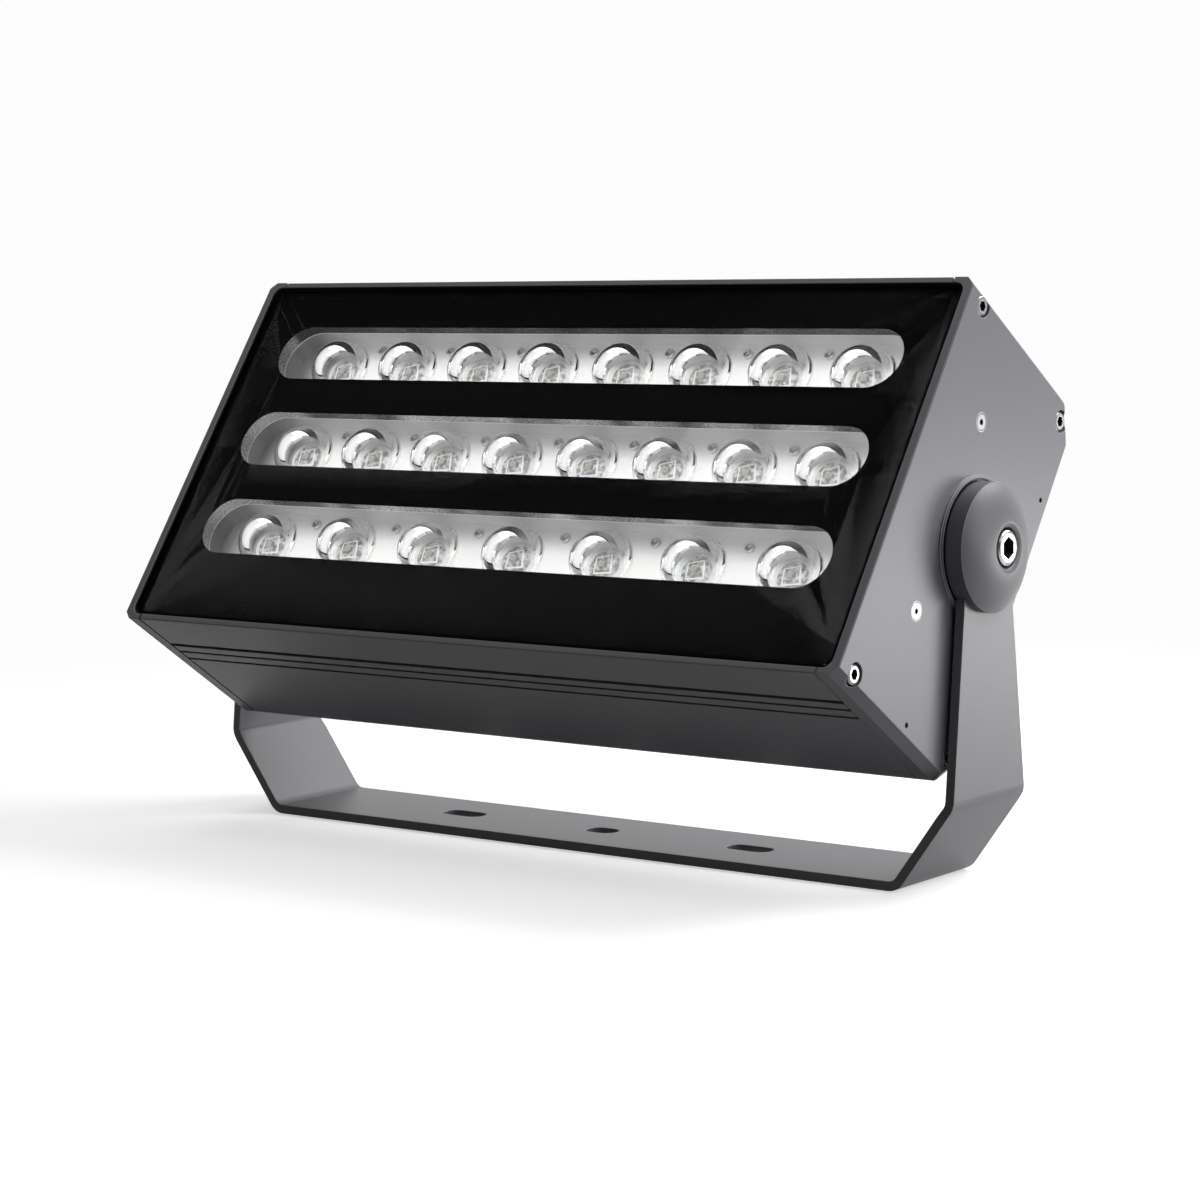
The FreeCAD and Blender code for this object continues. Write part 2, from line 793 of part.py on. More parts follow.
def make_board_leads():
    """A lead from the driver's output end to each board, through the web."""
    leads = []
    for row, rise in enumerate(row_rises):
        depth = lead_depth + row * lead_step
        start_rise = row_rises[0] + row * lead_step
        points = [Vector(driver_end, depth, start_rise), Vector(lead_x, depth, start_rise)]
        if row > 0:
            points.append(Vector(lead_x, depth, rise))
        points.append(Vector(lead_x, web_front - lead_board_reach, rise))
        leads.append(lead(points, lead_radius, lead_bend))
    return leads


# ---------------------------------------------------------------- cable gland and vent

def behind(x, depth):
    return Vector(x, depth, gland_rise)


def make_gland_body():
    wall_face = housing_depth
    neck_end = wall_face + gland_body_height + gland_neck_height
    body = hexagon_rod(gland_hex, behind(gland_x, wall_face), behind(gland_x, wall_face + gland_body_height))
    thread_start = rear_inside - gland_nut_height - 2
    body = body.fuse([
        rod(gland_thread_radius, behind(gland_x, thread_start), behind(gland_x, wall_face)),
        rod(gland_neck_radius, behind(gland_x, wall_face), behind(gland_x, neck_end)),
    ])
    bore = rod(gland_bore, behind(gland_x, thread_start - 1), behind(gland_x, neck_end + 1))
    seat = rod(gland_bore + 2.4, behind(gland_x, wall_face + 4), behind(gland_x, neck_end + 1))
    return body.cut([bore, seat]).removeSplitter()


def make_gland_seal():
    """Rubber sleeve in the gland's neck, a plug still in it because no cable is fitted."""
    start = housing_depth + 4
    end = housing_depth + gland_body_height + gland_neck_height - 1
    return rod(gland_bore + 2.3, behind(gland_x, start), behind(gland_x, end))


def make_gland_cap():
    start = housing_depth + gland_body_height + 1
    end = start + gland_cap_height
    hex_end = start + gland_cap_height * 0.65
    cap = hexagon_rod(gland_hex, behind(gland_x, start), behind(gland_x, hex_end))
    crown = Part.makeCone(gland_hex / 2, gland_hex / 2 - 3, end - hex_end, behind(gland_x, hex_end), Vector(0, 1, 0))
    cap = cap.fuse(crown)
    neck_room = housing_depth + gland_body_height + gland_neck_height + 0.3
    thread = rod(gland_neck_radius + thread_clearance, behind(gland_x, start - 1), behind(gland_x, neck_room))
    mouth = rod(gland_bore + 1.5, behind(gland_x, start - 1), behind(gland_x, end + 1))
    return cap.cut([thread, mouth]).removeSplitter()


def make_lock_nut(x, across_flats, height, radius):
    start = behind(x, rear_inside - height)
    nut = hexagon_rod(across_flats, start, behind(x, rear_inside))
    return nut.cut(rod(radius + thread_clearance, start, behind(x, rear_inside)))


def make_vent_plug():
    """Low round plug with slots in its rim for the air."""
    face = housing_depth + vent_height
    flange = rod(vent_flange_radius, behind(vent_x, housing_depth), behind(vent_x, face))
    outer_rim = [edge for edge in flange.Edges if edge.BoundBox.YMin > face - 1e-3]
    flange = flange.makeChamfer(1.2, outer_rim)
    thread_start = rear_inside - vent_nut_height - 2
    plug = flange.fuse(rod(vent_thread_radius, behind(vent_x, thread_start), behind(vent_x, housing_depth)))
    cutters = []
    for step in range(3):
        slot = block(
            vent_x - vent_flange_radius - 1, vent_x + vent_flange_radius + 1,
            housing_depth + 2, housing_depth + 3.2, gland_rise - 1.2, gland_rise + 1.2)
        slot.rotate(behind(vent_x, housing_depth), Vector(0, 1, 0), 60 * step)
        cutters.append(slot)
    core = rod(vent_flange_radius - 3, behind(vent_x, housing_depth), behind(vent_x, face))
    slots = cutters[0].fuse(cutters[1:]).cut(core)
    return plug.cut(slots).removeSplitter()


# ---------------------------------------------------------------- bracket and pivot

def offset_path(points, distance):
    """Open path shifted sideways: each inner corner moves along its mitre."""
    normals = []
    for start, end in zip(points, points[1:]):
        along = (end - start).normalize()
        normals.append(Vector(-along.z, 0, along.x))
    shifted = [points[0] + normals[0] * distance]
    for index in range(1, len(points) - 1):
        first = normals[index - 1]
        second = normals[index]
        shifted.append(points[index] + (first + second) * (distance / (1 + first.dot(second))))
    shifted.append(points[-1] + normals[-1] * distance)
    return shifted


def arm_outline(grow, x_start, x_end):
    """Side view of the bracket: straight up to the bends, then tapering to the round arm end."""
    half = bracket_width / 2 + grow
    radius = arm_end_radius + grow
    taper_start = bend_height - taper_start_drop
    rise = axis_height - taper_start
    distance = math.hypot(half, rise)
    lean = math.atan2(half, rise) + math.acos(radius / distance)
    touch = Vector(x_start, radius * math.sin(lean), axis_height + radius * -math.cos(lean))
    other_touch = Vector(x_start, -touch.y, touch.z)
    top = Vector(x_start, 0, axis_height + radius)
    corners = [
        Vector(x_start, -half, -1),
        Vector(x_start, half, -1),
        Vector(x_start, half, taper_start),
        touch,
    ]
    edges = [Part.LineSegment(first, second).toShape() for first, second in zip(corners, corners[1:])]
    edges.append(Part.Arc(touch, top, other_touch).toShape())
    edges.append(Part.LineSegment(other_touch, Vector(x_start, -half, taper_start)).toShape())
    edges.append(Part.LineSegment(Vector(x_start, -half, taper_start), corners[0]).toShape())
    return Part.Face(Part.Wire(edges)).extrude(Vector(x_end - x_start, 0, 0))


def base_slot(x, length):
    half = length / 2
    radius = base_slot_width / 2
    corners = [(-half, -radius), (half, -radius), (half, radius), (-half, radius)]
    points = [Vector(x + dx, dy, -1) for dx, dy in corners]
    return Part.Face(rounded_wire(points, [radius] * 4)).extrude(Vector(0, 0, plate_thickness + 2))


def make_bracket():
    """U bracket bent from one plate; its arms taper towards their round ends."""
    top = axis_height + arm_end_radius + 1
    half = bracket_width / 2
    outer = [
        Vector(-arm_outside, -half, top),
        Vector(-arm_outside, -half, bend_height),
        Vector(-base_half_length, -half, 0),
        Vector(base_half_length, -half, 0),
        Vector(arm_outside, -half, bend_height),
        Vector(arm_outside, -half, top),
    ]
    inner = offset_path(outer, plate_thickness)
    outer_bend = bend_inner_radius + plate_thickness
    radii = [0] + [outer_bend] * 4 + [0, 0] + [bend_inner_radius] * 4 + [0]
    strip = Part.Face(rounded_wire(outer + inner[::-1], radii)).extrude(Vector(0, bracket_width, 0))
    bracket = strip.common(arm_outline(0, -arm_outside - 1, arm_outside + 1))
    cutters = [base_slot(side * base_slot_spacing / 2, base_slot_length) for side in (-1, 1)]
    cutters.append(base_slot(0, middle_slot_length))
    hole = tilt_screw_radius + screw_hole_clearance
    cutters.append(rod(hole, Vector(-arm_outside - 1, 0, axis_height), Vector(arm_outside + 1, 0, axis_height)))
    return bracket.cut(cutters).removeSplitter()


def make_tilt_hub():
    """Domed cap over the right arm's end: a skirt round the arm, a dome, and a hole for the screw."""
    rim = arm_outside + hub_rim_height
    crown = rim + hub_dome_height
    floor = arm_outside + hub_floor
    bore = tilt_screw_radius + screw_hole_clearance
    shoulder = Vector(rim + hub_dome_height * 0.66, 0, disc_radius * 0.72)
    dimple = Vector(crown - hub_dimple_drop * 0.3, 0, (hub_dimple_radius + hub_hole_radius) / 2)
    dome_edge = Vector(rim + hub_rim_bevel / 2, 0, disc_radius - hub_rim_bevel)
    edges = [
        Part.LineSegment(Vector(arm_inside, 0, bore), Vector(arm_inside, 0, disc_radius)),
        Part.LineSegment(Vector(arm_inside, 0, disc_radius), Vector(rim, 0, disc_radius)),
        Part.LineSegment(Vector(rim, 0, disc_radius), dome_edge),
        Part.Arc(dome_edge, shoulder, Vector(crown, 0, hub_dimple_radius)),
        Part.Arc(
            Vector(crown, 0, hub_dimple_radius), dimple, Vector(crown - hub_dimple_drop, 0, hub_hole_radius)),
        Part.LineSegment(Vector(crown - hub_dimple_drop, 0, hub_hole_radius), Vector(floor, 0, hub_hole_radius)),
        Part.LineSegment(Vector(floor, 0, hub_hole_radius), Vector(floor, 0, bore)),
        Part.LineSegment(Vector(floor, 0, bore), Vector(arm_inside, 0, bore)),
    ]
    face = Part.Face(Part.Wire([edge.toShape() for edge in edges]))
    hub = on_axis(face.revolve(Vector(0, 0, 0), Vector(1, 0, 0), 360))
    return hub.cut(arm_outline(arm_slot_clearance, arm_inside - 1, arm_outside))


def make_friction_disc():
    inner = Vector(half_length + disc_gap, 0, 0)
    return on_axis(ring(disc_radius, tilt_screw_radius + screw_hole_clearance, inner, Vector(arm_inside, 0, 0)))


def make_tilt_screw():
    seat = arm_outside + hub_floor + tilt_screw_play
    face = Vector(seat + tilt_screw_head_height, 0, 0)
    length = seat - half_length + tilt_screw_reach
    return on_axis(socket_screw(
        face, Vector(-1, 0, 0), tilt_screw_head_radius, tilt_screw_head_height, tilt_screw_radius,
        length, tilt_screw_socket, 0.8))


# ---------------------------------------------------------------- assembly

def both_sides(parts, name, pieces, place):
    """Add the right-hand pieces and their mirror images as two nodes."""
    right = [place(piece) for piece in pieces]
    parts[name + "_right"] = right
    parts[name + "_left"] = [mirrored(piece) for piece in right]


def make_parts():
    parts = {"bracket": [make_bracket()]}
    both_sides(parts, "tilt_hub", [make_tilt_hub()], Part.Shape.copy)
    both_sides(parts, "friction_disc", [make_friction_disc()], Part.Shape.copy)
    both_sides(parts, "tilt_screw", [make_tilt_screw()], Part.Shape.copy)
    both_sides(parts, "end_plate", [make_end_plate()], tilted)
    both_sides(parts, "end_gasket", [make_end_gasket()], tilted)
    both_sides(parts, "end_plate_screws", make_end_screws(), tilted)
    both_sides(parts, "pivot_plate", [make_pivot_plate()], tilted)
    both_sides(parts, "pivot_plate_screws", make_pivot_plate_screws(), tilted)
    housing = {
        "housing_profile": [make_profile()],
        "front_glass": [make_glass()],
        "glass_print": [make_print()],
        "glass_seal": [make_glass_seal()],
        "board_screws": make_board_screws(),
        "driver_tray": [make_tray()],
        "tray_screws": make_small_screws(tray_screw_places(), web_back + tray_thickness),
        "led_driver": [make_driver()],
        "driver_screws": make_small_screws(
            driver_screw_places(), web_back + tray_thickness + driver_ear_thickness),
        "terminal_block": [make_terminal_block()],
        "driver_leads": make_driver_leads(),
        "board_leads": make_board_leads(),
        "gland_body": [make_gland_body()],
        "gland_seal": [make_gland_seal()],
        "gland_cap": [make_gland_cap()],
        "gland_nut": [make_lock_nut(gland_x, gland_hex, gland_nut_height, gland_thread_radius)],
        "vent_plug": [make_vent_plug()],
        "vent_nut": [make_lock_nut(vent_x, vent_nut_hex, vent_nut_height, vent_thread_radius)],
    }
    for row, name in enumerate(row_names):
        housing["lens_trough_" + name] = [make_trough(row)]
        housing["lenses_" + name] = make_lenses(row)
        housing["led_chips_" + name] = make_chips(row)
        housing["led_board_" + name] = [make_board(row)]
    for name, pieces in housing.items():
        parts[name] = [tilted(piece) for piece in pieces]
    return parts


def main():
    os.makedirs("parts", exist_ok=True)
    for name, pieces in make_parts().items():
        solids = [solid for piece in pieces for solid in piece.Solids]
        shape = solids[0] if len(solids) == 1 else Part.makeCompound(solids)
        shape.exportStep("parts/" + name + ".step")
        print(name, len(solids), "solid(s)", round(shape.Volume), "mm3", "valid" if shape.isValid() else "INVALID")


main()
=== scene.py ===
import math
import bpy
import numpy as np
from mathutils import Matrix, Vector


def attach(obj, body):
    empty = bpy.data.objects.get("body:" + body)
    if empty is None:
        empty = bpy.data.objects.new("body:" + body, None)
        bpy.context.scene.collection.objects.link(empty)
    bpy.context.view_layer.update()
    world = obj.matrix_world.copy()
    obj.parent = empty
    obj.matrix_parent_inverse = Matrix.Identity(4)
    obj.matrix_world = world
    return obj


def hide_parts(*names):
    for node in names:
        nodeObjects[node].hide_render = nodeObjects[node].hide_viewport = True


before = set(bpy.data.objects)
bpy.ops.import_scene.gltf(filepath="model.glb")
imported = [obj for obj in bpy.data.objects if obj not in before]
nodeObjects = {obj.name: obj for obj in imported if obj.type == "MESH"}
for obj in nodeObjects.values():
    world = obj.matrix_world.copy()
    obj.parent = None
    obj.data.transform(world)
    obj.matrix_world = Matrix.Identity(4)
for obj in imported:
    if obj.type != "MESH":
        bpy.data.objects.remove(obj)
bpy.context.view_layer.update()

mm = 0.001
print("loaded", len(nodeObjects), "nodes")


# ---- shader sums

class Nodes:
    # the node tree of one material or of the world
    def __init__(self, owner):
        owner.use_nodes = True
        self.tree = owner.node_tree
        self.tree.nodes.clear()

    def add(self, kind, settings=None, sockets=None, out=0):
        # one node: its settings first, then the values or links of its sockets
        node = self.tree.nodes.new("ShaderNode" + kind)
        for name, value in (settings or {}).items():
            setattr(node, name, value)
        for name, value in (sockets or {}).items():
            if isinstance(value, Wire):
                self.tree.links.new(value.socket, node.inputs[name])
            else:
                node.inputs[name].default_value = value
        return Wire(self, node.outputs[out]) if node.outputs else node

    def mix(self, share, first, second):
        # first where share is 0, second where it is 1, for colours
        return self.add("Mix", {"data_type": "RGBA"}, {0: share, 6: first, 7: second}, out=2)

    def blend(self, share, first, second):
        # the same for whole shaders
        return self.add("MixShader", {}, {0: share, 1: first, 2: second})

    def noise(self, place, scale, detail=2.0, roughness=0.5):
        return self.add("TexNoise", {}, {
            "Vector": place, "Scale": scale, "Detail": detail, "Roughness": roughness})

    def stretched(self, place, scales):
        return self.add("VectorMath", {"operation": "MULTIPLY"}, {0: place, 1: scales})

    def place(self):
        # position in metres in the object's own frame
        return self.add("TexCoord", out=3)

    def parts(self, vector):
        split = self.add("SeparateXYZ", {}, {0: vector}).socket.node
        return [Wire(self, socket) for socket in split.outputs]

    def step(self, value, low, high):
        # 0 below low, 1 above high, smooth between; with low above high it falls instead
        return self.add("MapRange", {"interpolation_type": "SMOOTHSTEP"},
                        {"Value": value, "From Min": low, "From Max": high})

    def finish(self, shader):
        kind = "OutputWorld" if self.tree.id_data.name.startswith("World") else "OutputMaterial"
        self.add(kind, {}, {"Surface": shader})


class Wire:
    # a socket, so that sums on it can be written as sums
    def __init__(self, nodes, socket):
        self.nodes = nodes
        self.socket = socket

    def sum(self, operation, *values):
        return self.nodes.add("Math", {"operation": operation}, dict(enumerate(values)))

    def __add__(self, other): return self.sum("ADD", self, other)
    def __radd__(self, other): return self.sum("ADD", other, self)
    def __sub__(self, other): return self.sum("SUBTRACT", self, other)
    def __rsub__(self, other): return self.sum("SUBTRACT", other, self)
    def __mul__(self, other): return self.sum("MULTIPLY", self, other)
    def __rmul__(self, other): return self.sum("MULTIPLY", other, self)
    def __truediv__(self, other): return self.sum("DIVIDE", self, other)
    def __pow__(self, other): return self.sum("POWER", self, other)
    def __abs__(self): return self.sum("ABSOLUTE", self)
    def __lt__(self, other): return self.sum("LESS_THAN", self, other)
    def __gt__(self, other): return self.sum("GREATER_THAN", self, other)

    def clamped(self): return self.sum("MINIMUM", self.sum("MAXIMUM", self, 0.0), 1.0)
    def least(self, other): return self.sum("MINIMUM", self, other)
    def most(self, other): return self.sum("MAXIMUM", self, other)
    def fraction(self): return self.sum("FRACT", self)


# ---- the housing's own coordinates

housing = {"tilt": 35.0, "axisDepth": 76 * mm, "axisRise": 114.5 * mm, "axisHeight": 173.427 * mm}
lean = math.radians(housing["tilt"])


def housingPoint(x, depth, rise):
    # from length, depth behind the front edge and rise above the lower side to the frame:
    # turned by the tilt about the pivot axis, then lifted to its height
    back = depth - housing["axisDepth"]
    up = rise - housing["axisRise"]
    return np.stack(np.broadcast_arrays(
        x,
        back * math.cos(lean) + up * math.sin(lean),
        housing["axisHeight"] + up * math.cos(lean) - back * math.sin(lean)), axis=-1)


def housingPlaces(nodes, place):
    # the same the other way round, in a material: x, depth and rise of the shaded point
    x, y, z = nodes.parts(place)
    up = z - housing["axisHeight"]
    depth = y * math.cos(lean) - up * math.sin(lean) + housing["axisDepth"]
    rise = y * math.sin(lean) + up * math.cos(lean) + housing["axisRise"]
    return x, depth, rise


# ---- finishes

def newMaterial(name):
    material = bpy.data.materials.new(name)
    return material, Nodes(material)


def dress(material, *names):
    for name in names:
        slots = nodeObjects[name].data.materials
        slots.clear()
        slots.append(material)


def bothSides(*names):
    return [name + side for name in names for side in ("_left", "_right")]


def roundedNormal(nodes, radius, height=None, distance=0.0, strength=1.0):
    # edges softened by radius, with an optional fine relief on top
    soft = nodes.add("Bevel", {"samples": 6}, {"Radius": radius})
    if height is None:
        return soft
    return nodes.add("Bump", {}, {"Height": height, "Distance": distance, "Strength": strength, "Normal": soft})


def edgeShare(nodes, radius):
    # 0 on flat faces, up to 1 on an outer or inner edge: how far the softened normal leans
    # from the true one
    soft = nodes.add("Bevel", {"samples": 6}, {"Radius": radius})
    true = nodes.add("NewGeometry", out=3)
    same = nodes.add("VectorMath", {"operation": "DOT_PRODUCT"}, {0: soft, 1: true}, out=1)
    return ((1 - same) * 5).clamped()


coating = {
    "colour": (0.18, 0.182, 0.2),
    # pale colour of the painted highlight along the edges
    "edgeHighlightColour": (0.62, 0.62, 0.64),
    "metallic": 0.0,
    "specular": 0.45,
    "roughness": 0.36,
    "grainSize": 0.55 * mm,     # powder grains
    "grainDepth": 0.035 * mm,
    "edgeRadius": 0.6 * mm,
    "glassReach": 233.5 * mm,   # no painted highlight on the edges round the glass
    "seatDepth": 9.0 * mm,
}


def coatedMaterial(name, look):
    # satin powder coat: even dark grey, fine grain, with a painted highlight along its edges
    material, nodes = newMaterial(name)
    place = nodes.place()
    grain = nodes.noise(place, 1 / look["grainSize"], 3.0, 0.6)
    cloud = nodes.noise(place, 9.0, 3.0)
    x, depth, rise = housingPlaces(nodes, place)
    nearGlass = (abs(x) < look["glassReach"]) * (depth < look["seatDepth"])
    # share of painted highlight on the edges, none round the glass
    edge = edgeShare(nodes, look["edgeRadius"]) * (1 - nearGlass)
    tone = nodes.mix((grain * 0.7 + cloud * 0.5 - 0.1).clamped(),
                     (*(0.9 * c for c in look["colour"]), 1), (*(1.1 * c for c in look["colour"]), 1))
    # painted highlight: the edges lightened
    colour = nodes.mix(edge, tone, (*look["edgeHighlightColour"], 1))
    normal = roundedNormal(nodes, look["edgeRadius"], grain, look["grainDepth"], 0.35)
    nodes.finish(nodes.add("BsdfPrincipled", {}, {
        "Base Color": colour, "Metallic": look["metallic"], "Specular IOR Level": look["specular"],
        "Roughness": look["roughness"] + grain * 0.05 + cloud * 0.04 - edge * 0.1, "Normal": normal}))
    return material


housingCoat = coatedMaterial("housing_paint", coating)
bracketCoat = coatedMaterial("bracket_paint", {**coating, "colour": (0.165, 0.166, 0.177)})
dress(housingCoat, "housing_profile", *bothSides("end_plate"))
dress(bracketCoat, "bracket", *bothSides("tilt_hub"))
print("coated metal done")


metals = {
    "polished": {"colour": (0.5, 0.5, 0.51), "roughness": 0.24, "streak": 0.06},
    "plated": {"colour": (0.55, 0.56, 0.57), "roughness": 0.32, "streak": 0.12},
    "boardScrew": {"colour": (0.7, 0.7, 0.7), "roughness": 0.22, "streak": 0.1},
    # colour of the painted shade in the screws' sockets and round their heads
    "socket": (0.03, 0.03, 0.032),
}
socketScrews = {
    # middles of the heads (depth and rise in mm), the heads' face along the screw,
    # how far from a middle the painted shade in the socket reaches, and the head's radius
    "end_plate_screws": {"places": ((14.5, 8), (14.5, 218), (114, 14), (114, 212)),
                         "face": 239.4 * mm, "reach": 3.1 * mm, "head": 5.0 * mm},
    "pivot_plate_screws": {"places": ((45.5, 60), (45.5, 169)),
                           "face": 240.0 * mm, "reach": 2.3 * mm, "head": 5.0 * mm},
    "tilt_screw": {"places": ((76, 114.5),), "face": 259.1 * mm, "reach": 6.2 * mm, "head": 9.0 * mm},
}


def metalMaterial(name, look, socketShadeMask=None):
    # bare metal with faint turning marks; the mask paints shade inside a socket and in a ring near the head's
    # edge
    material, nodes = newMaterial(name)
    place = nodes.place()
    marks = nodes.noise(nodes.stretched(place, (400, 2500, 2500)), 1.0, 2.0)
    stain = nodes.noise(place, 120.0, 3.0)
    colour = nodes.mix((marks * 0.6 + stain * 0.6 - 0.1).clamped(),
                       (*(0.85 * c for c in look["colour"]), 1), (*look["colour"], 1))
    roughness = look["roughness"] + marks * look["streak"] + stain * 0.05
    metallic = 1.0
    if socketShadeMask:
        dark = socketShadeMask(nodes, place)
        # painted shade in the socket and in a ring near the head's edge
        colour = nodes.mix(dark, colour, (*metals["socket"], 1))
        roughness = roughness + dark * 0.4
        metallic = 1 - dark * 0.5
    nodes.finish(nodes.add("BsdfPrincipled", {}, {
        "Base Color": colour, "Metallic": metallic, "Roughness": roughness,
        "Normal": roundedNormal(nodes, 0.25 * mm)}))
    return material


def socketShadeMaskOf(kind):
    look = socketScrews[kind]

    def mask(nodes, place):
        # painted shade inside a screw's middle and below its face, and in a ring near the head's edge
        x, depth, rise = housingPlaces(nodes, place)
        inside = None
        for spotDepth, spotRise in look["places"]:
            away = ((depth - spotDepth * mm) ** 2.0 + (rise - spotRise * mm) ** 2.0) ** 0.5
            inside = away if inside is None else inside.least(away)
        sunk = nodes.step(abs(x), look["face"] - 0.15 * mm, look["face"] - 0.5 * mm)
        rim = nodes.step(abs(inside - look["head"] * 0.86), 0.45 * mm, 0.2 * mm) * 0.75
        return ((inside < look["reach"]) * sunk).most(rim * (1 - sunk))
    return mask


for kind in socketScrews:
    dress(metalMaterial(kind + "_steel", metals["polished"], socketShadeMaskOf(kind)), *bothSides(kind))
platedSteel = metalMaterial("plated_steel", metals["plated"])
dress(platedSteel, "tray_screws", "driver_screws", "driver_tray", "vent_nut", *bothSides("pivot_plate"))
print("metals done")


plastics = {
    "rubber": {"colour": (0.012, 0.012, 0.013), "roughness": 0.75, "specular": 0.3,
               "grain": 0.9 * mm, "depth": 0.04 * mm},
    "blackPlastic": {"colour": (0.018, 0.018, 0.02), "roughness": 0.5, "specular": 0.4,
                     "grain": 0.5 * mm, "depth": 0.03 * mm},
    "blackPrint": {"colour": (0.0018, 0.0018, 0.002), "roughness": 0.6, "specular": 0.05,
                   "grain": 0.3 * mm, "depth": 0.002 * mm},
    "terminalPlastic": {"colour": (0.32, 0.34, 0.33), "roughness": 0.5, "specular": 0.5,
                        "grain": 0.7 * mm, "depth": 0.02 * mm},
    "driverCase": {"colour": (0.72, 0.72, 0.7), "roughness": 0.45, "specular": 0.5,
                   "grain": 0.8 * mm, "depth": 0.03 * mm},
}


def plasticMaterial(name, look):
    # moulded or printed: grain in tone, gloss and relief
    material, nodes = newMaterial(name)
    place = nodes.place()
    grain = nodes.noise(place, 1 / look["grain"], 2.0)
    cloud = nodes.noise(place, 30.0, 3.0)
    colour = nodes.mix((grain * 0.5 + cloud * 0.6 - 0.05).clamped(),
                       (*(0.85 * c for c in look["colour"]), 1), (*(1.15 * c for c in look["colour"]), 1))
    nodes.finish(nodes.add("BsdfPrincipled", {}, {
        "Base Color": colour, "Specular IOR Level": look["specular"],
        "Roughness": (look["roughness"] + (grain - 0.5) * 0.12 + (cloud - 0.5) * 0.1).clamped(),
        "Normal": roundedNormal(nodes, 0.3 * mm, grain, look["depth"], 0.5)}))
    return material


dress(plasticMaterial("rubber", plastics["rubber"]), "glass_seal", "gland_seal", *bothSides("end_gasket"))
dress(plasticMaterial("black_plastic", plastics["blackPlastic"]),
      "gland_body", "gland_cap", "gland_nut", "vent_plug", *bothSides("friction_disc"))
dress(plasticMaterial("black_print", plastics["blackPrint"]), "glass_print")
dress(plasticMaterial("terminal_plastic", plastics["terminalPlastic"]), "terminal_block")
dress(plasticMaterial("driver_case", plastics["driverCase"]), "led_driver")
print("plastics done")


leads = {
    "driver_leads": {"colours": ((0.16, 0.05, 0.02), (0.02, 0.07, 0.32)), "along": "rise", "split": 70 * mm},
    "board_leads": {"colours": ((0.35, 0.012, 0.01), (0.01, 0.01, 0.011)), "along": "depth", "split": 47 * mm},
}


def leadMaterial(name, look):
    # soft insulation, one colour on each side of a split between the wires
    material, nodes = newMaterial(name)
    place = nodes.place()
    x, depth, rise = housingPlaces(nodes, place)
    grain = nodes.noise(place, 900.0)
    side = (rise if look["along"] == "rise" else depth) > look["split"]
    first, second = ((*colour, 1) for colour in look["colours"])
    colour = nodes.mix(grain * 0.25, nodes.mix(side, first, second), (0.02, 0.02, 0.02, 1))
    nodes.finish(nodes.add("BsdfPrincipled", {}, {
        "Base Color": colour, "Roughness": 0.4 + grain * 0.15,
        "Normal": roundedNormal(nodes, 0.3 * mm, grain, 0.02 * mm, 0.4)}))
    return material


for kind, look in leads.items():
    dress(leadMaterial(kind + "_insulation", look), kind)


# ---- glass

glass = {
    "front": {"colour": (0.98, 0.985, 0.985), "ior": 1.5, "specular": 0.5, "tint": 0.02, "roughness": 0.0},
    "rim": {"reach": 233.2 * mm, "low": 5.3 * mm, "high": 220.7 * mm},
    "lens": {"colour": (0.985, 0.99, 0.99), "ior": 1.49, "specular": 0.5, "tint": 1.0, "roughness": 0.0},
}


def glassMaterial(name, look, smear, rim=None):
    # clear glass that lets the lamps' light through to what lies behind it; smear is the faint
    # unevenness of its gloss, and rim gives where the pane's blackened edge starts
    material, nodes = newMaterial(name)
    place = nodes.place()
    haze = nodes.noise(place, 60.0, 3.0)
    clear = nodes.add("BsdfPrincipled", {}, {
        "Base Color": (*look["colour"], 1), "Roughness": look["roughness"] + haze * smear,
        "IOR": look["ior"], "Specular IOR Level": look["specular"],
        "Specular Tint": (*[look["tint"]] * 3, 1), "Transmission Weight": 1.0})
    unshaded = nodes.add("BsdfTransparent", {}, {"Color": (*look["colour"], 1)})
    shadow = nodes.add("LightPath", out=1)
    through = nodes.blend(shadow, clear, unshaded)
    if rim:
        x, depth, rise = housingPlaces(nodes, place)
        outer = (abs(x) > rim["reach"]).most(rise < rim["low"]).most(rise > rim["high"])
        black = nodes.add("BsdfPrincipled", {}, {
            "Base Color": (0.002, 0.002, 0.002, 1), "Roughness": 0.5 + haze * 0.1, "Specular IOR Level": 0.1})
        through = nodes.blend(outer, through, black)
    nodes.finish(through)
    return material


dress(glassMaterial("front_glass_clear", glass["front"], 0.01, glass["rim"]), "front_glass")
lensGlass = glassMaterial("lens_glass", glass["lens"], 0.02)
print("glass done")


# ---- slots with their troughs, boards and chips

rows = {
    # the last number of each row: share of black painted shade on its trough's upper wall
    "bottom": {"rise": 64.0, "count": 7, "reach": 177.0, "upperWallShade": 0.0},
    "middle": {"rise": 121.7, "count": 8, "reach": 178.5, "upperWallShade": 0.0},
    "top": {"rise": 179.4, "count": 8, "reach": 178.5, "upperWallShade": 1.0},
}
trough = {
    "white": (0.92, 0.92, 0.905),
    "wallEdge": 14.5 * mm,          # the metal-looking front part of the wall ends here
    # the shiny front of the wall: its grey, blotched between these two as painted reflection
    "wallDark": (0.05, 0.05, 0.052),
    "wallLight": (0.42, 0.42, 0.42),
    # the painted shade near the glass fades out here
    "fadeEnd": 24 * mm,
    "leftEnd": -211.5 * mm,
    "shadeFrom": 3 * mm, "shadeTo": 18 * mm, "shade": 0.62, "shadeColour": (0.2, 0.2, 0.2),
    "glow": 0.27,                   # stands in for the light that reaches the slots through the glass
}


def dimTop(nodes, up):
    # share of shade under the upper edge of a slot, where the wall keeps the light off
    return nodes.step(up, trough["shadeFrom"], trough["shadeTo"]) * trough["shade"]


